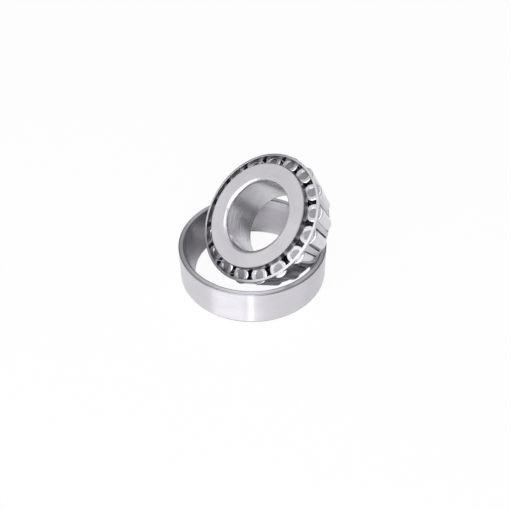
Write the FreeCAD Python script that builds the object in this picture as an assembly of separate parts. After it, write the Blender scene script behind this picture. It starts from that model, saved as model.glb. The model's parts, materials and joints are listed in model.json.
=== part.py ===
import FreeCAD, Part
import math
import os

# Single-row tapered roller bearing with its cone set lifted out of its seat and leaned in the cup.
# Millimetres, +Z up.  The cup lies flat with its wide back face on Z = 0 and its axis on Z.
# The cone set is drawn upright about its own axis, its back face at 0 and its front face below,
# and is then tilted into place.  A "depth" is measured down that axis from the back face.

Vector = FreeCAD.Vector

# ---- boundary sizes (metric series 35 x 72 x 24.25) ----
BORE = 35.0
OUTSIDE = 72.0
WIDTH = 24.25            # cup back face to cone back face when the bearing is run up
CONE_WIDTH = 23.0
CUP_WIDTH = 19.0
CUP_LIP = 2.7065         # wall of the cup at its thin front face
CUP_ANGLE = 14.036       # half angle of the cup race

# ---- corners ----
CUP_BACK_CORNER = 1.5
CUP_FRONT_CORNER = 1.0
CUP_BACK_BORE_CORNER = 0.8
CUP_MOUTH_CORNER = 0.4
CONE_BORE_CORNER = 2.0
CONE_BACK_CORNER = 0.8
CONE_FRONT_CORNER = 0.5

# ---- rollers ----
ROLLERS = 17
ROLLER_TAPER = 1.876     # half angle of one roller
BACK_RIB = 4.8           # depth of the centre of a roller's large end
FRONT_RIB = 2.36         # from the centre of a roller's small end down to the cone front face
ROLLER_CORNER = 0.7
RECESS_DIAMETER = 4.9    # turned recess in each roller end
RECESS_DEPTH = 0.5
PHASE = 2.15             # first roller's place round the cone, from the downhill side

# ---- cone ribs ----
BACK_RIB_HEIGHT = 2.0    # above the cone race
BACK_RIB_CORNER = 0.6
FRONT_RIB_HEIGHT = 1.1   # above the cone race
UNDERCUT = 0.35          # grinding relief at both ends of the cone race
UNDERCUT_WIDTH = 0.9

# ---- pressed steel cage ----
CAGE_SHEET = 1.2
CAGE_INSET = 1.41        # the rollers stand this far proud of the cage
CAGE_RIM_DEPTH = 2.7
CAGE_RIM_CORNER = 0.35
CAGE_END_LAND = 0.3      # straight sheet between the windows and the bend
CAGE_BEND = 0.5          # inside radius of the bend at the small end
WINDOW_CORNER = 0.5

# ---- clearances ----
RACE_GAP = 0.04          # roller to cone race
RIB_GAP = 0.1            # roller end to rib
POCKET_SIDE_GAP = 0.12   # roller to cage bar
POCKET_END_GAP = 0.25    # roller end to cage ring
FLANGE_GAP = 0.9         # cage flange to the cone's front rib
LEAN_GAP = 0.08          # leaning set to the cup's mouth and to the ground

# ---- how the cone set leans ----
LEAN = 41.47             # tilt of its axis from upright
LEAN_TOWARD = 213.5      # compass direction that the back face looks to, from +X toward +Y


def tan(angle):
    return math.tan(math.radians(angle))


def sin(angle):
    return math.sin(math.radians(angle))


def cos(angle):
    return math.cos(math.radians(angle))


# ---- rolling geometry: every cone shares one apex on the axis ----
cup_small_radius = OUTSIDE / 2 - CUP_LIP - CUP_WIDTH * tan(CUP_ANGLE)
apex = cup_small_radius / tan(CUP_ANGLE) + WIDTH       # depth of the apex
axis_angle = CUP_ANGLE - ROLLER_TAPER                  # a roller's axis from the bearing's axis
race_angle = axis_angle - ROLLER_TAPER                 # the cone race

large_end = (apex - BACK_RIB) / cos(axis_angle)        # distances from the apex along a roller's axis
small_end = (apex - CONE_WIDTH + FRONT_RIB) / cos(axis_angle)
large_radius = large_end * tan(ROLLER_TAPER)
small_radius = small_end * tan(ROLLER_TAPER)
cage_inset = CAGE_INSET / cos(CUP_ANGLE)
cage_wall = CAGE_SHEET / cos(CUP_ANGLE)                # the sheet measured square to the axis


def envelope_radius(depth):
    """Radius of the cone that the rollers run on in the cup."""
    return (apex - depth) * tan(CUP_ANGLE)


def race_radius(depth):
    """Radius of the cone race."""
    return (apex - depth) * tan(race_angle) - RACE_GAP / cos(race_angle)


def cage_radius(depth):
    """Outside radius of the cage's conical wall."""
    return envelope_radius(depth) - cage_inset


def end_plane_depth(distance, radius):
    """Depth, at a radius, of the plane square to a roller's axis at a distance from the apex."""
    return apex - (distance - radius * sin(axis_angle)) / cos(axis_angle)


def meeting_depth(distance, surface):
    """Depth at which such a plane meets the surface whose radius the given function returns."""
    depth = apex - distance
    for _ in range(20):
        depth = end_plane_depth(distance, surface(depth))
    return depth


def turned(corners):
    """Solid turned about Z from (radius, height, rounding) corners."""
    points = [Vector(radius, 0, height) for radius, height, _ in corners]
    starts, ends, edges = [], [], []
    for index, (_, _, rounding) in enumerate(corners):
        corner = points[index]
        back = (points[index - 1] - corner).normalize()
        ahead = (points[(index + 1) % len(points)] - corner).normalize()
        half = back.getAngle(ahead) / 2
        reach = rounding / math.tan(half)
        starts.append(corner + back * reach)
        ends.append(corner + ahead * reach)
        if rounding:
            middle = (back + ahead).normalize() * (rounding / math.sin(half) - rounding)
            edges.append(Part.Arc(starts[-1], corner + middle, ends[-1]).toShape())
    for index in range(len(points)):
        following = (index + 1) % len(points)
        edges.append(Part.LineSegment(ends[index], starts[following]).toShape())
    wire = Part.Wire(Part.__sortEdges__(edges))
    return Part.Face(wire).revolve(Vector(0, 0, 0), Vector(0, 0, 1), 360)


def make_cup():
    """Outer ring: cylindrical outside, conical race opening upward."""
    mouth = cup_small_radius + CUP_WIDTH * tan(CUP_ANGLE)
    return turned([
        (OUTSIDE / 2, 0, CUP_BACK_CORNER),
        (OUTSIDE / 2, CUP_WIDTH, CUP_FRONT_CORNER),
        (mouth, CUP_WIDTH, CUP_MOUTH_CORNER),
        (cup_small_radius, 0, CUP_BACK_BORE_CORNER),
    ])


def make_cone():
    """Inner ring: bore, back rib, race with its two reliefs, and front rib."""
    rib_face = large_end + RIB_GAP
    top = meeting_depth(rib_face, race_radius)
    rib_radius = race_radius(top) + BACK_RIB_HEIGHT
    rib_edge = end_plane_depth(rib_face, rib_radius)
    front_face = small_end - RIB_GAP
    bottom = meeting_depth(front_face, race_radius)
    front_radius = race_radius(bottom) + FRONT_RIB_HEIGHT
    front_edge = end_plane_depth(front_face, front_radius)
    return turned([
        (BORE / 2, 0, CONE_BORE_CORNER),
        (rib_radius, 0, CONE_BACK_CORNER),
        (rib_radius, -rib_edge, BACK_RIB_CORNER),
        (race_radius(top), -top, 0),
        (race_radius(top) - UNDERCUT, -top - UNDERCUT_WIDTH / 3, 0),
        (race_radius(top + UNDERCUT_WIDTH), -top - UNDERCUT_WIDTH, 0),
        (race_radius(bottom - UNDERCUT_WIDTH), -bottom + UNDERCUT_WIDTH, 0),
        (race_radius(bottom) - UNDERCUT, -bottom + UNDERCUT_WIDTH / 3, 0),
        (race_radius(bottom), -bottom, 0),
        (front_radius, -front_edge, CONE_FRONT_CORNER / 2),
        (front_radius, -CONE_WIDTH, CONE_FRONT_CORNER),
        (BORE / 2, -CONE_WIDTH, CONE_BORE_CORNER),
    ])


def make_roller():
    """One roller about Z, the apex at 0: a cone frustum with a turned recess in each end."""
    recess = RECESS_DIAMETER / 2
    return turned([
        (0, small_end + RECESS_DEPTH, 0),
        (recess, small_end + RECESS_DEPTH, 0),
        (recess, small_end, 0),
        (small_radius, small_end, ROLLER_CORNER),
        (large_radius, large_end, ROLLER_CORNER),
        (recess, large_end, 0),
        (recess, large_end - RECESS_DEPTH, 0),
        (0, large_end - RECESS_DEPTH, 0),
    ])


def on_roller_axis(shape, number):
    """Swing a shape drawn about Z from the apex onto the axis of one roller of the upright set."""
    shape = shape.copy()
    shape.rotate(Vector(0, 0, 0), Vector(0, 1, 0), axis_angle)
    shape.rotate(Vector(0, 0, 0), Vector(0, 0, 1), PHASE + number * 360 / ROLLERS)
    shape.translate(Vector(0, 0, -apex))
    return shape


def window_half_width(distance, radius):
    """Half the window that lets a roller section of this radius sit in the sheet with its gap."""
    wall_inside = cage_radius(apex - distance * cos(axis_angle)) - cage_wall
    half = radius
    for _ in range(20):
        at_bar = math.sqrt(wall_inside ** 2 - half ** 2) - distance * sin(axis_angle)
        half = math.sqrt(radius ** 2 - (at_bar * cos(axis_angle)) ** 2) + POCKET_SIDE_GAP
    return half


def make_window():
    """Cutter for one cage window, standing outward (+X) from a roller's axis."""
    low, high = small_end - POCKET_END_GAP, large_end + POCKET_END_GAP
    narrow = window_half_width(small_end, small_radius)
    wide = window_half_width(large_end, large_radius)
    corners = [(-narrow, low), (narrow, low), (wide, high), (-wide, high)]
    points = [Vector(0, side, height) for side, height in corners]
    face = Part.Face(Part.makePolygon(points + points[:1]))
    block = face.extrude(Vector(2 * large_radius, 0, 0))
    upright = [edge for edge in block.Edges if abs(edge.tangentAt(edge.FirstParameter).x) > 0.99]
    return block.makeFillet(WINDOW_CORNER, upright)


window_end = meeting_depth(small_end - POCKET_END_GAP, cage_radius)
bend_depth = window_end + CAGE_END_LAND + CAGE_BEND + CAGE_SHEET   # outer face of the cage flange


def make_cage():
    """Pressed cage: conical wall with a window for each roller and a flange turned inward."""
    race_end = race_radius(meeting_depth(small_end - RIB_GAP, race_radius))
    flange_radius = race_end + FRONT_RIB_HEIGHT + FLANGE_GAP
    inner_bend = bend_depth - CAGE_SHEET
    cage = turned([
        (cage_radius(CAGE_RIM_DEPTH), -CAGE_RIM_DEPTH, CAGE_RIM_CORNER),
        (cage_radius(bend_depth), -bend_depth, CAGE_BEND + CAGE_SHEET),
        (flange_radius, -bend_depth, CAGE_RIM_CORNER),
        (flange_radius, -inner_bend, CAGE_RIM_CORNER),
        (cage_radius(inner_bend) - cage_wall, -inner_bend, CAGE_BEND),
        (cage_radius(CAGE_RIM_DEPTH) - cage_wall, -CAGE_RIM_DEPTH, CAGE_RIM_CORNER),
    ])
    window = make_window()
    return cage.cut([on_roller_axis(window, number) for number in range(ROLLERS)])


def lowest(depth, radius, rounding):
    """How far a rounded edge of the tilted set reaches below its back face's centre."""
    return depth * cos(LEAN) + radius * sin(LEAN) + rounding


def lean_height():
    """Height of the back face's centre at which the set's lowest edges clear the ground."""
    along = small_end + ROLLER_CORNER
    off_axis = along * tan(ROLLER_TAPER) - ROLLER_CORNER / cos(ROLLER_TAPER)
    edge_depth = apex - along * cos(axis_angle) + off_axis * sin(axis_angle)
    edge_radius = along * sin(axis_angle) + off_axis * cos(axis_angle)
    bend = CAGE_BEND + CAGE_SHEET
    bend_centre = cage_radius(bend_depth) - bend * tan(45 + CUP_ANGLE / 2)
    rollers = lowest(edge_depth, edge_radius, ROLLER_CORNER)
    cage = lowest(bend_depth - bend, bend_centre, bend)
    return LEAN_GAP + max(rollers, cage)


def outside(beside, beyond):
    """Distance to a block whose nearest side and end lie this far off (negative when within)."""
    if beyond <= 0:
        return beside
    return math.hypot(max(beside, 0), beyond)


def set_clearance(point, place):
    """Distance from a point in space to what the leaning set's rollers and cage sweep in turning."""
    local = place.inverse().multVec(point)
    radius = math.hypot(local.x, local.y)
    above_apex = apex + local.z
    along = above_apex * cos(axis_angle) + radius * sin(axis_angle)
    off_axis = radius * cos(axis_angle) - above_apex * sin(axis_angle)
    flank = (off_axis - along * tan(ROLLER_TAPER)) * cos(ROLLER_TAPER)
    past_end = max(along - large_end, small_end - along)
    wall = (radius - cage_radius(-local.z)) * cos(CUP_ANGLE)
    past_rim = max(CAGE_RIM_DEPTH + local.z, -local.z - bend_depth)
    return min(outside(flank, past_end), outside(wall, past_rim))


def leaning(shift, height):
    """Placement of the set with its back face's centre this far over and this high."""
    centre = Vector(-shift * cos(LEAN_TOWARD), -shift * sin(LEAN_TOWARD), height)
    return FreeCAD.Placement(centre, FreeCAD.Rotation(LEAN_TOWARD, LEAN, 0))


def lean_place():
    """Placement of the set on the ground, moved over until its flank meets the cup's mouth."""
    height = lean_height()
    reach = CUP_MOUTH_CORNER / tan(45 + CUP_ANGLE / 2)
    edge_height = CUP_WIDTH - reach * cos(CUP_ANGLE)
    top_radius = cup_small_radius + CUP_WIDTH * tan(CUP_ANGLE) + reach
    edge_radius = cup_small_radius + edge_height * tan(CUP_ANGLE)
    mouth = []
    for angle in range(360):
        mouth.append(Vector(edge_radius * cos(angle), edge_radius * sin(angle), edge_height))
        mouth.append(Vector(top_radius * cos(angle), top_radius * sin(angle), CUP_WIDTH))
    clear, touching = -OUTSIDE / 4, OUTSIDE / 4
    for _ in range(24):
        shift = (clear + touching) / 2
        place = leaning(shift, height)
        if min(set_clearance(point, place) for point in mouth) > LEAN_GAP:
            clear = shift
        else:
            touching = shift
    return leaning(clear, height)


def build():
    """Every sub-part in its resting place, by node name."""
    place = lean_place()
    parts = {"outer_ring": make_cup()}
    cone_set = {"inner_ring": make_cone(), "cage": make_cage()}
    roller = make_roller()
    for number in range(ROLLERS):
        cone_set["roller_%02d" % (number + 1)] = on_roller_axis(roller, number)
    for name, shape in cone_set.items():
        shape.Placement = place.multiply(shape.Placement)
        parts[name] = shape
    return parts


os.makedirs("parts", exist_ok=True)
for name, shape in build().items():
    if not shape.isValid() or len(shape.Solids) != 1:
        raise RuntimeError(name + " is not one valid solid")
    shape.Solids[0].exportStep(os.path.join("parts", name + ".step"))
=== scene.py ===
"""A single-row tapered roller bearing, its inner ring set lifted from its seat and leaned in the cup."""

import json
import math

import bpy
import numpy as np
from mathutils import Matrix, Vector


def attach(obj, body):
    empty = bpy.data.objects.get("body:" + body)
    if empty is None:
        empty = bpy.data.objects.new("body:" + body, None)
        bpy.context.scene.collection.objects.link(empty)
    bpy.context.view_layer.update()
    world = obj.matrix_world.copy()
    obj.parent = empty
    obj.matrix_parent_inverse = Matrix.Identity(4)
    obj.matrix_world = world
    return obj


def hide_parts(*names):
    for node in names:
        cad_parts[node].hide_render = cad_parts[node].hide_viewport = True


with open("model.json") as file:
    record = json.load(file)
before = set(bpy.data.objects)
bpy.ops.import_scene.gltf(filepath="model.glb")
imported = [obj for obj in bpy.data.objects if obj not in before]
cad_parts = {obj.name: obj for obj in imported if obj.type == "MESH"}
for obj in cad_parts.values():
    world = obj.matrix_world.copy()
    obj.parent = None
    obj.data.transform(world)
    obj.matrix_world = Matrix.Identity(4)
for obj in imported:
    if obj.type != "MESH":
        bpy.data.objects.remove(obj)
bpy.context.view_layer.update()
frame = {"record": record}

MM = 0.001

# ---------------- sizes, in millimetres, as the solids have them
BORE = 35.0
OUTSIDE = 72.0
WIDTH = 24.25
CONE_WIDTH = 23.0
CUP_WIDTH = 19.0
CUP_LIP = 2.7065
CUP_ANGLE = math.radians(14.036)
CUP_BACK_CORNER = 1.5
CUP_BACK_BORE_CORNER = 0.8
CUP_FRONT_EDGE = 0.6     # what grinding the front face leaves of its corners, outside and at the mouth
CUP_MOUTH_EDGE = 0.7
CONE_BORE_CORNER = 2.0
CONE_FRONT_CORNER = 0.5
ROLLERS = 17
ROLLER_TAPER = math.radians(1.876)
BACK_RIB = 4.8           # depth of the centre of a roller's large end
FRONT_RIB = 2.36         # from the centre of its small end down to the cone's front face
ROLLER_CORNER = 0.7
RECESS = 4.9 / 2         # radius of the recess in a roller's end
RECESS_DEPTH = 0.5
RECESS_CORNER = 0.2
RECESS_EDGE = 0.12
PHASE = math.radians(2.15)    # first roller's place round the cone, from its downhill side
BACK_RIB_HEIGHT = 2.0
BACK_RIB_CORNER = 0.6
BACK_FACE_EDGE = 0.45
FRONT_RIB_HEIGHT = 1.1
FRONT_RIB_EDGE = 0.25
UNDERCUT = 0.35
UNDERCUT_WIDTH = 0.9
CAGE_SHEET = 1.2
CAGE_INSET = 1.41        # the rollers stand this far proud of the cage
CAGE_RIM_DEPTH = 2.7
CAGE_RIM_CORNER = 0.35
RIM_EDGE = 0.15          # what is left of the rim's corners after its face is cut
CAGE_BEND = 0.5
CAGE_END_LAND = 0.3      # straight sheet between the windows and the bend
WINDOW_CORNER = 0.5
RACE_GAP = 0.04
RIB_GAP = 0.1
POCKET_SIDE_GAP = 0.12
POCKET_END_GAP = 0.25
FLANGE_GAP = 0.9
SHEARED_EDGE = 0.12      # rolled-over edge that punching leaves round a window
WINDOW_BAND = (4.1, 21.75)    # depths between which the cage wall is cut by windows

AXIS_ANGLE = CUP_ANGLE - ROLLER_TAPER
RACE_ANGLE = AXIS_ANGLE - ROLLER_TAPER
SMALL_RACE = OUTSIDE / 2 - CUP_LIP - CUP_WIDTH * math.tan(CUP_ANGLE)
APEX = SMALL_RACE / math.tan(CUP_ANGLE) + WIDTH
LARGE_END = (APEX - BACK_RIB) / math.cos(AXIS_ANGLE)
SMALL_END = (APEX - CONE_WIDTH + FRONT_RIB) / math.cos(AXIS_ANGLE)
LARGE_RADIUS = LARGE_END * math.tan(ROLLER_TAPER)
SMALL_RADIUS = SMALL_END * math.tan(ROLLER_TAPER)
OUTER_OFFSET = CAGE_INSET / math.cos(CUP_ANGLE)
INNER_OFFSET = OUTER_OFFSET + CAGE_SHEET / math.cos(CUP_ANGLE)


def race_radius(depth):
    """Cone race: straight toward the shared apex, less its running gap."""
    return (APEX - depth) * math.tan(RACE_ANGLE) - RACE_GAP / math.cos(RACE_ANGLE)


def sheet_radius(depth, offset):
    """Cage wall: the rollers' envelope, stepped in by an offset square to the axis."""
    return (APEX - depth) * math.tan(CUP_ANGLE) - offset


def end_depth(distance, radius):
    """Depth, at a radius, of the plane square to a roller's axis at a distance from the apex."""
    return APEX - (distance - radius * math.sin(AXIS_ANGLE)) / math.cos(AXIS_ANGLE)


ROUNDS = 20    # of putting a value back into its own formula, after which it no longer changes


def meeting_depth(distance, surface):
    """Depth at which that plane meets a surface, given as a function from depth to radius: the plane's
    depth at the surface's radius, put back into the surface until it settles."""
    depth = APEX - distance
    for _ in range(ROUNDS):
        depth = end_depth(distance, surface(depth))
    return depth


# ---------------- finishes


def linear(code):
    """sRGB hex to linear RGBA: c/12.92 below the knee, ((c + 0.055)/1.055)^2.4 above it."""
    parts = [int(code[i:i + 2], 16) / 255 for i in (1, 3, 5)]
    return (*[c / 12.92 if c <= 0.04045 else ((c + 0.055) / 1.055) ** 2.4 for c in parts], 1.0)


def add(tree, kind, sockets=(), **settings):
    """Add a shader node, set its properties, and fill or link the named input sockets."""
    node = tree.nodes.new("ShaderNode" + kind)
    for name, value in settings.items():
        setattr(node, name, value)
    for name, value in dict(sockets).items():
        if isinstance(value, bpy.types.NodeSocket):
            tree.links.new(value, node.inputs[name])
        else:
            node.inputs[name].default_value = value
    return node


def cleared(owner):
    """The node tree of a material or world, emptied."""
    owner.use_nodes = True
    owner.node_tree.nodes.clear()
    return owner.node_tree


def steel(name, colour, shade, roughness, spread, grain, streak, relief, anisotropy):
    """Bearing steel whose tool marks follow the lay attribute: x and y turn with the angle, z is
    millimetres across the marks.  grain is the spacing of the marks and streak how many times a mark
    breaks up in a turn.  colour and shade are the two ends of its tone, spread how far its roughness
    varies, relief the depth of the marks in millimetres, anisotropy how far gloss smears across them."""
    material = bpy.data.materials.new(name)
    tree = cleared(material)
    lay = add(tree, "Attribute", attribute_name="lay", attribute_type="GEOMETRY")
    fine = add(tree, "Mapping", {"Vector": lay.outputs["Vector"], "Scale": (streak, streak, 1 / grain)})
    marks = add(tree, "TexNoise", {"Vector": fine.outputs["Vector"], "Scale": 1.0, "Detail": 3.0,
                                   "Roughness": 0.6})
    broad = add(tree, "Mapping", {"Vector": lay.outputs["Vector"], "Scale": (2.0, 2.0, 0.12)})
    cloud = add(tree, "TexNoise", {"Vector": broad.outputs["Vector"], "Scale": 1.0, "Detail": 2.0})
    mixed = add(tree, "Math", {0: marks.outputs["Fac"], 1: cloud.outputs["Fac"]}, operation="ADD")
    tone = add(tree, "MapRange", {"Value": mixed.outputs["Value"], "From Min": 0.7, "From Max": 1.3})
    ramp = add(tree, "ValToRGB", {"Fac": tone.outputs["Result"]})
    ramp.color_ramp.elements[0].color = linear(shade)
    ramp.color_ramp.elements[1].color = linear(colour)
    rough = add(tree, "MapRange", {"Value": marks.outputs["Fac"], "From Min": 0.3, "From Max": 0.7,
                                   "To Min": roughness - spread, "To Max": roughness + spread})
    bump = add(tree, "Bump", {"Height": marks.outputs["Fac"], "Strength": 1.0, "Distance": relief * MM})
    # The tangent runs round the axis, along the marks, and a quarter turn lays the smear across them.
    around = add(tree, "Tangent", direction_type="UV_MAP", uv_map="around")
    surface = add(tree, "BsdfPrincipled", {
        "Base Color": ramp.outputs["Color"], "Metallic": 1.0, "Roughness": rough.outputs["Result"],
        "Anisotropic": anisotropy, "Anisotropic Rotation": 0.25,
        "Normal": bump.outputs["Normal"], "Tangent": around.outputs["Tangent"]})
    add(tree, "OutputMaterial", {"Surface": surface.outputs["BSDF"]})
    return material


# The marks of all these finishes are really 0.02 to 0.1 mm apart, too fine to show, so they are drawn
# 0.25 to 0.6 mm apart.
#
# Through-hardened chrome steel, centreless and face ground: pale and even, with a faint lilac cast,
# its gloss smeared across very fine marks that run round the axis.
GROUND = steel("ground_bearing_steel", "#DCDAE0", "#D3D1D7", 0.30, 0.03, 0.3, 2.0, 0.0002, 1.0)
# The bore is ground the same way, a little coarser and without the lilac cast of the polished faces.
BORED = steel("ground_bore_steel", "#DEDEE0", "#CBCBCD", 0.25, 0.03, 0.3, 0.8, 0.00015, 1.0)
# Same steel with its race honed: darker and glossier, so it mirrors what stands round it.
HONED = steel("honed_race_steel", "#CFCDD2", "#C2C0C6", 0.20, 0.03, 0.3, 3.0, 0.0003, 1.0)
# Turned corners and reliefs, tumbled before grinding: a more broken gloss, with little lay.
TURNED = steel("turned_corner_steel", "#D4D2D6", "#BEBCC1", 0.24, 0.06, 0.25, 6.0, 0.0015, 0.3)
# Faces ground flat: matte to the eye because their marks cross.
FACED = steel("face_ground_steel", "#D0CED3", "#C6C4CA", 0.36, 0.05, 0.35, 5.0, 0.0008, 0.2)
# Low-carbon strip, pressed and tumbled: soft satin, a little darker than the rings.
PRESSED = steel("pressed_strip_steel", "#C9C9CC", "#B2B2B6", 0.33, 0.07, 0.6, 9.0, 0.004, 0.0)
# The cage's inner face: the same strip painted darker, a painted shade for the shadow between the cage
# and the inner ring.
PAINTED_SHADE_INSIDE = steel("pressed_strip_painted_shade", "#98989C", "#828286", 0.30, 0.06, 0.6, 9.0, 0.002, 0.0)
# The same strip where its rim is sheared and burnished flat: cleaner, so it catches the light.
SHEARED = steel("sheared_rim_steel", "#D4D4D7", "#C8C8CB", 0.30, 0.05, 0.4, 5.0, 0.001, 0.0)
# Rib side of the inner ring and corners beside ground faces, turned and hardened but never ground: a
# darker, streaked grey.
HARDENED = steel("hardened_turned_steel", "#9A999E", "#77767B", 0.34, 0.06, 0.35, 1.5, 0.003, 0.6)
# Rollers superfinished on their flanks, ground on their ends, and left as headed in their recesses.
FLANK = steel("superfinished_roller_steel", "#D6D5D9", "#CBCACF", 0.13, 0.02, 0.25, 3.0, 0.0003, 0.4)
HEADED = steel("headed_recess_steel", "#9C9B9F", "#848388", 0.42, 0.06, 0.5, 9.0, 0.004, 0.0)


# ---------------- surfaces


def outline(corners, straight_steps=1, arc_steps=6):
    """Runs of a closed profile given counter-clockwise as (across, up, rounding, finish) corners.
    A straight keeps the normal on its right; an arc's normal turns evenly about the corner's centre
    from one straight to the next.  Each run is (points, normals, finish).  A finish belongs to the
    straight that leaves its corner, and a corner may name a second one for its arc."""
    points = np.array([corner[:2] for corner in corners], float)
    ahead = np.roll(points, -1, 0) - points
    ahead /= np.linalg.norm(ahead, axis=1)[:, None]
    outward = np.stack([ahead[:, 1], -ahead[:, 0]], 1)
    behind = np.roll(ahead, 1, 0)
    across = behind[:, 0] * ahead[:, 1] - behind[:, 1] * ahead[:, 0]
    turn = np.arctan2(across, (behind * ahead).sum(1)).tolist()
    runs, count = [], len(corners)
    reach = [corners[i][2] * math.tan(abs(turn[i]) / 2) for i in range(count)]
    for i, (_, _, rounding, finish, *arc_finish) in enumerate(corners):
        if rounding:
            side = math.copysign(rounding, turn[i])
            a = np.linspace(0, turn[i], arc_steps + 1)[:, None]
            first = outward[i - 1]
            normals = np.cos(a) * first + np.sin(a) * np.array([-first[1], first[0]])
            centre = points[i] - ahead[i - 1] * reach[i] - side * first
            runs.append((centre + side * normals, normals, arc_finish[0] if arc_finish else TURNED))
        start = points[i] + ahead[i] * reach[i]
        end = points[(i + 1) % count] - ahead[i] * reach[(i + 1) % count]
        along = np.linspace(0, 1, straight_steps + 1)[:, None]
        normals = np.repeat(outward[i:i + 1], straight_steps + 1, 0)
        runs.append((start + (end - start) * along, normals, finish))
    return runs


def carried_round(run, angles, travelled):
    """A profile run carried round Z: (r cos a, r sin a, z), and its lay (cos a, sin a, mm along it)."""
    points, normals, finish = run
    cos, sin = np.cos(angles)[None, :], np.sin(angles)[None, :]
    flat = np.ones_like(cos)

    def spin(pair):
        return np.stack([pair[:, :1] * cos, pair[:, :1] * sin, pair[:, 1:] * flat], -1)

    steps = np.linalg.norm(np.diff(points, axis=0), axis=1)
    length = (np.concatenate([[0], np.cumsum(steps)]) + travelled)[:, None]
    level = np.ones_like(length)
    lay = np.stack([level * cos, level * sin, length * flat], -1)
    around = np.stack([level * angles / math.tau, length * flat / 100], -1)
    return spin(points), spin(normals), lay, around, finish


def turned(corners, segments=288):
    """Patches of a solid of revolution, one for each run of its profile that is off the axis."""
    angles = np.linspace(0, math.tau, segments + 1)
    patches, travelled = [], 0.0
    for run in outline(corners):
        if run[0][:, 0].max() > 1e-6:
            patches.append(carried_round(run, angles, travelled))
        travelled += np.linalg.norm(np.diff(run[0], axis=0), axis=1).sum()
    return patches


def linked(name, data):
    """A new object with this data, put in the scene."""
    made = bpy.data.objects.new(name, data)
    bpy.context.scene.collection.objects.link(made)
    return made


MEETING = 1e-5    # points nearer than this are one vertex


def piece(name, patches, turn, shift, body, node):
    """One closed mesh from grids of points, turned, shifted and brought to metres.  Points that meet
    become one vertex, quads that close on a pole become triangles, and each face corner keeps its own
    grid's normal."""
    finishes, points, normals, lays, arounds, corners, kinds = [], [], [], [], [], [], []
    count = 0
    for grid, normal, lay, around, finish in patches:
        rows, columns = grid.shape[:2]
        index = np.arange(rows * columns).reshape(rows, columns) + count
        quads = np.stack([index[:-1, :-1], index[:-1, 1:], index[1:, 1:], index[1:, :-1]], -1)
        quads = quads.reshape(-1, 4)
        if finish not in finishes:
            finishes.append(finish)
        corners.append(quads)
        kinds.append(np.full(len(quads), finishes.index(finish)))
        for store, values, width in ((points, grid, 3), (normals, normal, 3), (lays, lay, 3),
                                     (arounds, around, 2)):
            store.append(values.reshape(-1, width))
        count += rows * columns
    points, normals, lays, arounds, corners = map(np.concatenate, (points, normals, lays, arounds, corners))
    keys = np.round(points / MEETING).astype(np.int64)
    _, first, shared = np.unique(keys, axis=0, return_index=True, return_inverse=True)
    shared = shared.reshape(-1)
    vertex = shared[corners]
    keep = vertex != np.roll(vertex, -1, 1)
    whole = keep.sum(1) >= 3
    keep, vertex, corners = keep[whole], vertex[whole], corners[whole]
    kinds = np.concatenate(kinds)[whole]
    places = (points[first] @ turn.T + shift) * MM
    mesh = bpy.data.meshes.new(name)
    mesh.vertices.add(len(places))
    mesh.vertices.foreach_set("co", places.ravel())
    mesh.loops.add(int(keep.sum()))
    mesh.loops.foreach_set("vertex_index", vertex[keep].astype(np.int32))
    mesh.polygons.add(len(keep))
    starts = np.concatenate([[0], np.cumsum(keep.sum(1))[:-1]])
    mesh.polygons.foreach_set("loop_start", starts.astype(np.int32))
    mesh.polygons.foreach_set("material_index", kinds.astype(np.int32))
    mesh.update(calc_edges=True)
    mesh.uv_layers.new(name="around").uv.foreach_set("vector", arounds[corners[keep]].ravel())
    lay_data = mesh.attributes.new("lay", "FLOAT_VECTOR", "CORNER").data
    lay_data.foreach_set("vector", lays[corners[keep]].ravel())
    mesh.normals_split_custom_set(normals[corners[keep]] @ turn.T)
    for finish in finishes:
        mesh.materials.append(finish)
    made = linked(name, mesh)
    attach(made, body)
    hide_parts(node)


# ---------------- the rings

UPRIGHT = np.eye(3)
HERE = np.zeros(3)

mouth = SMALL_RACE + CUP_WIDTH * math.tan(CUP_ANGLE)
cup = turned([
    (SMALL_RACE, 0, CUP_BACK_BORE_CORNER, FACED),
    (OUTSIDE / 2, 0, CUP_BACK_CORNER, GROUND),
    (OUTSIDE / 2, CUP_WIDTH, CUP_FRONT_EDGE, GROUND, HARDENED),
    (mouth, CUP_WIDTH, CUP_MOUTH_EDGE, HONED, HARDENED),
])
piece("cup_ring", cup, UPRIGHT, HERE, "cup", "outer_ring")

# The inner ring set is drawn upright about Z with its back face at 0, then tilted to where the
# record's mount has that face: its own axis is the mount's, and its X runs downhill.
seat = next(m for m in frame["record"]["mounts"] if m["name"] == "cone_back_face")
up = np.array(seat["axis"])
downhill = up * up[2] - np.array([0, 0, 1.0])
downhill /= np.linalg.norm(downhill)
TILT = np.stack([downhill, np.cross(up, downhill), up], 1)
SEAT = np.array(seat["pos_m"]) / MM

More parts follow.
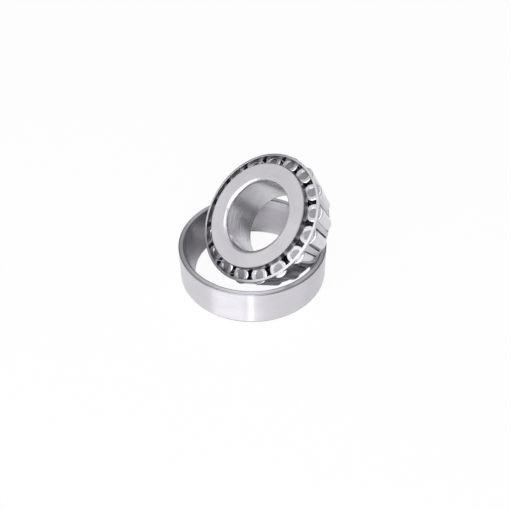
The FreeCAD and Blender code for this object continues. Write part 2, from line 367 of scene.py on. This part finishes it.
top = meeting_depth(LARGE_END + RIB_GAP, race_radius)
bottom = meeting_depth(SMALL_END - RIB_GAP, race_radius)
rib = race_radius(top) + BACK_RIB_HEIGHT
toe = race_radius(bottom) + FRONT_RIB_HEIGHT
cone = turned([
    (BORE / 2, 0, CONE_BORE_CORNER, BORED),
    (BORE / 2, -CONE_WIDTH, CONE_BORE_CORNER, FACED),
    (toe, -CONE_WIDTH, CONE_FRONT_CORNER, TURNED),
    (toe, -end_depth(SMALL_END - RIB_GAP, toe), FRONT_RIB_EDGE, FACED),
    (race_radius(bottom), -bottom, 0, TURNED),
    (race_radius(bottom) - UNDERCUT, -bottom + UNDERCUT_WIDTH / 3, 0, TURNED),
    (race_radius(bottom - UNDERCUT_WIDTH), -bottom + UNDERCUT_WIDTH, 0, HONED),
    (race_radius(top + UNDERCUT_WIDTH), -top - UNDERCUT_WIDTH, 0, TURNED),
    (race_radius(top) - UNDERCUT, -top - UNDERCUT_WIDTH / 3, 0, TURNED),
    (race_radius(top), -top, 0, FACED),
    (rib, -end_depth(LARGE_END + RIB_GAP, rib), BACK_RIB_CORNER, HARDENED),
    (rib, 0, BACK_FACE_EDGE, FACED, HARDENED),
])
piece("cone_ring", cone, TILT, SEAT, "cone", "inner_ring")

# ---------------- the rollers

roller = turned([
    (0, SMALL_END + RECESS_DEPTH, 0, HEADED),
    (RECESS, SMALL_END + RECESS_DEPTH, RECESS_CORNER, HEADED),
    (RECESS, SMALL_END, RECESS_EDGE, FACED),
    (SMALL_RADIUS, SMALL_END, ROLLER_CORNER, FLANK),
    (LARGE_RADIUS, LARGE_END, ROLLER_CORNER, FACED),
    (RECESS, LARGE_END, RECESS_EDGE, HEADED),
    (RECESS, LARGE_END - RECESS_DEPTH, RECESS_CORNER, HEADED),
    (0, LARGE_END - RECESS_DEPTH, 0, HEADED),
], segments=96)


def about_z(angle):
    """Turn by an angle about Z."""
    return np.array(Matrix.Rotation(angle, 3, "Z"))


# Each roller is drawn with the shared apex at its origin, swung out to its angle and turned round.
AT_APEX = np.array([0, 0, -APEX])
SWING = np.array(Matrix.Rotation(AXIS_ANGLE, 3, "Y"))
sector_turns = [PHASE + k * math.tau / ROLLERS for k in range(ROLLERS)]
for number, angle in enumerate(sector_turns, 1):
    name = "roller_%02d" % number
    piece("tapered_" + name, roller, TILT @ about_z(angle) @ SWING, TILT @ AT_APEX + SEAT,
          name, name)

# ---------------- the cage


def sheet_height(across, along, offset):
    """How far out from a roller's axis the cage wall lies, at a distance across and along it: the out at
    which the radius from the bearing's axis is the sheet's, put back in until it settles."""
    out = np.zeros_like(across)
    for _ in range(ROUNDS):
        level = along * math.cos(AXIS_ANGLE) - out * math.sin(AXIS_ANGLE)
        radius = level * math.tan(CUP_ANGLE) - offset
        out = (np.sqrt(radius ** 2 - across ** 2) - along * math.sin(AXIS_ANGLE)) / math.cos(AXIS_ANGLE)
    return out


def window_half(distance, radius):
    """Half width of the window where the roller has this radius: half its chord at the wall's inner
    face, and the side gap, put back in until it settles."""
    wall = sheet_radius(APEX - distance * math.cos(AXIS_ANGLE), INNER_OFFSET)
    half = radius
    for _ in range(ROUNDS):
        inward = math.sqrt(wall ** 2 - half ** 2) - distance * math.sin(AXIS_ANGLE)
        half = math.sqrt(radius ** 2 - (inward * math.cos(AXIS_ANGLE)) ** 2) + POCKET_SIDE_GAP
    return half


def sheet_normal(angle):
    """Outward normal of the cage wall at an angle round the axis: along the radius, dipped by the cup's
    angle."""
    out, dip = math.cos(CUP_ANGLE), -math.sin(CUP_ANGLE)
    return np.stack([out * np.cos(angle), out * np.sin(angle), np.full(len(angle), dip)], -1)


def window_sector():
    """The cage wall round one window, as one band of points: from the sector's edge on the outside,
    over the rolled edge, down the window's wall and back to the sector's edge on the inside.  Between
    window and sector edge the angle and the height run evenly.  Returns the band, its normals, and
    the angles that its upper and lower edges need on the plain rings.

    The hole's outline has eight runs: even ones round its corners, odd ones along its sides and ends
    (1 and 5 the sides, 3 the large end, 7 the small end)."""
    low, high = SMALL_END - POCKET_END_GAP, LARGE_END + POCKET_END_GAP
    narrow, wide = window_half(SMALL_END, SMALL_RADIUS), window_half(LARGE_END, LARGE_RADIUS)
    runs = outline([(narrow, low, WINDOW_CORNER, PRESSED), (wide, high, WINDOW_CORNER, PRESSED),
                    (-wide, high, WINDOW_CORNER, PRESSED), (-narrow, low, WINDOW_CORNER, PRESSED)],
                   straight_steps=12, arc_steps=6)
    hole = np.concatenate([run[0][:-1] for run in runs])
    away = np.concatenate([run[1][:-1] for run in runs])
    kind = np.concatenate([np.full(len(run[0]) - 1, i) for i, run in enumerate(runs)])
    part = np.concatenate([np.linspace(0, 1, len(run[0]))[:-1] for run in runs])

    def upright(across, along, out):
        """From a roller's frame to the upright set's, still with the apex at 0."""
        x = out * math.cos(AXIS_ANGLE) + along * math.sin(AXIS_ANGLE)
        z = along * math.cos(AXIS_ANGLE) - out * math.sin(AXIS_ANGLE)
        return np.stack([x, across, z], -1)

    def edge(offset, swell, beta):
        """A line round the window's rolled edge, beta turning from the sheet's face to the wall."""
        line = hole + away * SHEARED_EDGE * (1 - math.sin(beta))
        out = sheet_height(line[:, 0], line[:, 1], offset) - swell * SHEARED_EDGE * (1 - math.cos(beta))
        place = upright(line[:, 0], line[:, 1], out)
        face = swell * sheet_normal(np.arctan2(place[:, 1], place[:, 0]))
        wall = -upright(away[:, 0], away[:, 1], np.zeros(len(away)))
        normal = math.cos(beta) * face + math.sin(beta) * wall
        return place, normal / np.linalg.norm(normal, axis=1)[:, None]

    bends = np.linspace(0, math.pi / 2, 4)
    outer = [edge(OUTER_OFFSET, 1, beta) for beta in bends]
    inner = [edge(INNER_OFFSET, -1, beta) for beta in bends[::-1]]
    ring = outer[0][0]
    angle, level = np.arctan2(ring[:, 1], ring[:, 0]), ring[:, 2]
    side = math.pi / ROLLERS
    upper, lower = APEX - WINDOW_BAND[0], APEX - WINDOW_BAND[1]    # heights of the band's edges
    start_angle = {i: angle[kind == i][0] for i in range(8)}
    start_level = {i: level[kind == i][0] for i in range(8)}
    target = np.stack([angle, level], -1)
    target[kind == 1, 0], target[kind == 5, 0] = side, -side
    target[kind == 3, 1], target[kind == 7, 1] = upper, lower
    # The hole's corners spread over the sector's corners, each in two straight steps.
    sector_corners = {0: (side, lower, False), 2: (side, upper, True),
                      4: (-side, upper, False), 6: (-side, lower, True)}
    for i, (turn_to, level_to, side_first) in sector_corners.items():
        here, after = kind == i, (i + 1) % 8
        early, late = np.clip(part[here] * 2, 0, 1), np.clip(part[here] * 2 - 1, 0, 1)
        if side_first:    # along the sector's side, then across its end
            target[here, 1] = start_level[i] + (level_to - start_level[i]) * early
            target[here, 0] = turn_to + (start_angle[after] - turn_to) * late
        else:             # across the end, then along the side
            target[here, 0] = start_angle[i] + (turn_to - start_angle[i]) * early
            target[here, 1] = level_to + (start_level[after] - level_to) * late
    rows, normals = [], []

    def sheet_rows(rim, offset, swell, steps):
        """Lines on the sheet's face, each a share of the way from the sector's edge to the window's rim."""
        rim_angle = np.arctan2(rim[:, 1], rim[:, 0])
        for t in steps:
            a = target[:, 0] + (rim_angle - target[:, 0]) * t
            z = target[:, 1] + (rim[:, 2] - target[:, 1]) * t
            r = z * math.tan(CUP_ANGLE) - offset
            rows.append(np.stack([r * np.cos(a), r * np.sin(a), z], -1))
            normals.append(swell * sheet_normal(a))

    sheet_rows(outer[0][0], OUTER_OFFSET, 1, (0, 1 / 3, 2 / 3))
    for place, normal in outer + inner:
        rows.append(place)
        normals.append(normal)
    sheet_rows(inner[-1][0], INNER_OFFSET, -1, (2 / 3, 1 / 3, 0))
    rows, normals = np.array(rows), np.array(normals)
    close = np.r_[np.arange(rows.shape[1]), 0]
    on_top = np.isclose(target[:, 1], upper)
    on_bottom = np.isclose(target[:, 1], lower)
    return (rows[:, close], normals[:, close], np.unique(np.round(target[on_top, 0], 12)),
            np.unique(np.round(target[on_bottom, 0], 12)))


CAGE_LAY = 30.0    # radius at which the sheet's marks are equally far apart in all directions


def sheet_lay(grid):
    """Lay of the pressed sheet, which has no direction: x and y by its usual radius, z in millimetres."""
    return grid / np.array([CAGE_LAY, CAGE_LAY, 1.0])


band, band_normals, top_angles, bottom_angles = window_sector()
around = np.stack([np.arctan2(band[..., 1], band[..., 0]), band[..., 2] / 100], -1)
OUTSIDE_ROWS = 11    # rows of the band as far as the inner face
cage = []
# Each window's band: its outer rows in the pressed strip, its rows on the inner face in the darker strip, a
# painted shade.
for angle in sector_turns:
    turn = about_z(angle)
    grid, normal = band @ turn.T + AT_APEX, band_normals @ turn.T
    lay = sheet_lay(grid)
    for rows, finish in ((slice(0, OUTSIDE_ROWS), PRESSED), (slice(OUTSIDE_ROWS - 1, None), PAINTED_SHADE_INSIDE)):
        cage.append((grid[rows], normal[rows], lay[rows], around[rows], finish))


def all_round(angles):
    """The edge angles of every sector in one closed row, each shared angle once."""
    row = np.concatenate([angles[:-1] + angle for angle in sector_turns])
    return np.append(row, row[0] + math.tau)


window_foot = meeting_depth(SMALL_END - POCKET_END_GAP, lambda depth: sheet_radius(depth, OUTER_OFFSET))
bend_depth = window_foot + CAGE_END_LAND + CAGE_BEND + CAGE_SHEET
inner_bend = bend_depth - CAGE_SHEET
outer_rim = CAGE_RIM_DEPTH + CAGE_SHEET * math.sin(CUP_ANGLE)    # the rim is cut square to the sheet
flange = toe + FLANGE_GAP
# The rim's inside and the inner bend take the darker strip too, a painted shade.
profile = outline([
    (sheet_radius(bend_depth, OUTER_OFFSET), -bend_depth, CAGE_BEND + CAGE_SHEET, PRESSED),
    (sheet_radius(outer_rim, OUTER_OFFSET), -outer_rim, RIM_EDGE, SHEARED),
    (sheet_radius(CAGE_RIM_DEPTH, INNER_OFFSET), -CAGE_RIM_DEPTH, RIM_EDGE, PAINTED_SHADE_INSIDE),
    (sheet_radius(inner_bend, INNER_OFFSET), -inner_bend, CAGE_BEND, PAINTED_SHADE_INSIDE),
    (flange, -inner_bend, CAGE_RIM_CORNER, PRESSED),
    (flange, -bend_depth, CAGE_RIM_CORNER, PRESSED),
])
middle = -sum(WINDOW_BAND) / 2
for points, normals, finish in profile:
    finish = PRESSED if finish is TURNED else finish
    parts = [points]
    first, last = points[0], points[-1]
    if points[:, 1].max() > middle > points[:, 1].min():    # the wall, which gives way to the windows
        cuts = [first + (last - first) * (-depth - first[1]) / (last[1] - first[1])
                for depth in (WINDOW_BAND if first[1] > middle else WINDOW_BAND[::-1])]
        parts = [np.array([first, cuts[0]]), np.array([cuts[1], last])]
    for part in parts:
        angles = all_round(top_angles if part[:, 1].mean() > middle else bottom_angles)
        grid, normal, _, around, _ = carried_round((part, normals[:len(part)], finish), angles, 0.0)
        cage.append((grid, normal, sheet_lay(grid), around, finish))
piece("pressed_cage", cage, TILT, SEAT, "cage", "cage")

# ---------------- camera

camera = linked("camera", bpy.data.cameras.new("camera"))
camera.data.sensor_width = 36.0
camera.data.lens = 53.3012
camera.data.clip_start = 0.01
CAMERA_DISTANCE, CAMERA_HEIGHT = 373.7 * MM, math.radians(43.19)
AIM = Vector((0, 0, 9.5 * MM))    # half way up the cup
facing = Vector((0, math.cos(CAMERA_HEIGHT), -math.sin(CAMERA_HEIGHT)))
right = Vector((1, 0, 0))
level = Matrix((right, right.cross(facing), -facing))
# Held by hand, the camera is nearly a degree off level and a little off its aim.
hand_held = (Matrix.Rotation(math.radians(0.87), 3, "Z") @ Matrix.Rotation(math.radians(-0.077), 3, "X")
             @ Matrix.Rotation(math.radians(0.183), 3, "Y"))
stand = Matrix.Translation(AIM - facing * CAMERA_DISTANCE)
camera.matrix_world = stand @ (hand_held @ level).transposed().to_4x4()
bpy.context.scene.camera = camera

# ---------------- studio


def flat(name, size, place, material):
    """A level rectangle of the studio, which isn't part of the object."""
    x, y = size[0] / 2, size[1] / 2
    mesh = bpy.data.meshes.new(name)
    mesh.from_pydata([(-x, -y, 0), (x, -y, 0), (x, y, 0), (-x, y, 0)], [], [(0, 1, 2, 3)])
    mesh.materials.append(material)
    made = linked(name, mesh)
    made.location = place
    return made


def shown(tree):
    """The rays that see a background as a picture: from the camera, mirrored, or let through."""
    path = add(tree, "LightPath")
    mirrored = add(tree, "Math", {0: path.outputs["Is Glossy Ray"], 1: path.outputs["Is Transmission Ray"]},
                   operation="MAXIMUM")
    return path.outputs["Is Camera Ray"], mirrored.outputs["Value"]


# White paper.  It glows for the camera and for reflections, and keeps a little of its own shading, so
# that the object's shadow stays on it.  Inside the cup reflections see it white only in two painted
# pools of light: behind the bore, standing for light that falls through it, and on the side that the
# inner set leaves open.
SHOWN_WHITE = 0.94    # of what the camera sees of the paper, the rest is its own shading
paper = bpy.data.materials.new("white_paper")
tree = cleared(paper)
camera_ray, mirrored = shown(tree)
coordinates = add(tree, "TexCoord")
painted_light = 0.0
# Each row is a centre, the distances from it at which the paper is left to its own shading and glows
# fully, and how strongly it glows; the rows inside the cup are painted pools of light.
for x, y, dark, bright, strength in ((0, 0, 34, 40, 0.95),        # outside the cup
                                     (14, 20, 14, 7, 1.0),        # behind the bore
                                     (-11, -3, 21, 13, 0.95)):    # beside the inner set
    away = add(tree, "VectorMath", {0: coordinates.outputs["Object"], 1: (x * MM, y * MM, 0)},
               operation="DISTANCE")
    area = add(tree, "MapRange", {"Value": away.outputs["Value"], "From Min": dark * MM,
                                  "From Max": bright * MM, "To Max": strength},
               interpolation_type="SMOOTHSTEP")
    painted_light = add(tree, "Math", {0: painted_light, 1: area.outputs["Result"]}, operation="MAXIMUM").outputs["Value"]
# Reflections see the painted pools of light; the camera sees the paper evenly white.
painted_light_reflected = add(tree, "Math", {0: mirrored, 1: painted_light}, operation="MULTIPLY")
seen = add(tree, "Math", {0: camera_ray, 1: SHOWN_WHITE}, operation="MULTIPLY")
share = add(tree, "Math", {0: seen.outputs["Value"], 1: painted_light_reflected.outputs["Value"]}, operation="MAXIMUM")
matte = add(tree, "BsdfDiffuse", {"Color": linear("#E8E8E8")})
glow = add(tree, "Emission", {"Color": linear("#FFFFFF"), "Strength": 1.0})
mix = add(tree, "MixShader", {"Fac": share.outputs["Value"], 1: matte.outputs["BSDF"],
                              2: glow.outputs["Emission"]})
add(tree, "OutputMaterial", {"Surface": mix.outputs["Shader"]})
flat("floor", (4, 4), (0, 0, -0.0002), paper)


def towards(azimuth, elevation, distance):
    """A place in the studio: azimuth from the camera's side, growing to the right, in degrees."""
    a, e = math.radians(azimuth), math.radians(elevation)
    return Vector((math.sin(a) * math.cos(e), -math.cos(a) * math.cos(e), math.sin(e))) * distance


def lamp(name, azimuth, elevation, distance, size, radiance):
    """A soft rectangular lamp facing the object; its power is pi x area x radiance."""
    light = bpy.data.lights.new(name, "AREA")
    light.shape = "RECTANGLE"
    light.size, light.size_y = size
    light.energy = math.pi * size[0] * size[1] * radiance
    made = linked(name, light)
    made.location = towards(azimuth, elevation, distance)
    made.rotation_euler = (-made.location).to_track_quat("-Z", "Y").to_euler()
    made.visible_camera = False


lamp("front_softbox", -20, 40, 1.2, (1.4, 0.8), 2.5)
lamp("overhead_softbox", 0, 80, 1.2, (0.8, 0.5), 1.6)
lamp("low_softbox", -34, 12, 1.0, (0.8, 0.35), 4.0)
lamp("strip_lamp", -3, 12, 0.8, (0.03, 0.35), 30)

# Grey cards that only reflections see: they give bare metal its contrast.
CARD_DISTANCE = 0.9
for name, shade, azimuth, elevation, size in (("card_behind", "#A8A8A8", 195, 28, (1.5, 0.8)),
                                              ("card_low", "#202020", 136, 3, (0.9, 0.26)),
                                              ("card_right", "#303030", 98, 16, (0.9, 0.5))):
    card = bpy.data.materials.new(name)
    tree = cleared(card)
    matte = add(tree, "BsdfDiffuse", {"Color": linear(shade)})
    add(tree, "OutputMaterial", {"Surface": matte.outputs["BSDF"]})
    held = flat(name, size, towards(azimuth, elevation, CARD_DISTANCE), card)
    held.rotation_euler = (-held.location).to_track_quat("Z", "Y").to_euler()
    held.visible_camera = held.visible_diffuse = held.visible_shadow = False

world = bpy.data.worlds.new("studio")
bpy.context.scene.world = world
tree = cleared(world)
camera_ray, mirrored = shown(tree)
seen = add(tree, "Math", {0: camera_ray, 1: mirrored}, operation="MAXIMUM")
plain = add(tree, "Background", {"Color": linear("#FFFFFF"), "Strength": 0.5})
white = add(tree, "Background", {"Color": linear("#FFFFFF"), "Strength": 1.0})
mix = add(tree, "MixShader", {"Fac": seen.outputs["Value"], 1: plain.outputs["Background"],
                              2: white.outputs["Background"]})
add(tree, "OutputWorld", {"Surface": mix.outputs["Shader"]})

bpy.context.scene.view_settings.view_transform = "Standard"
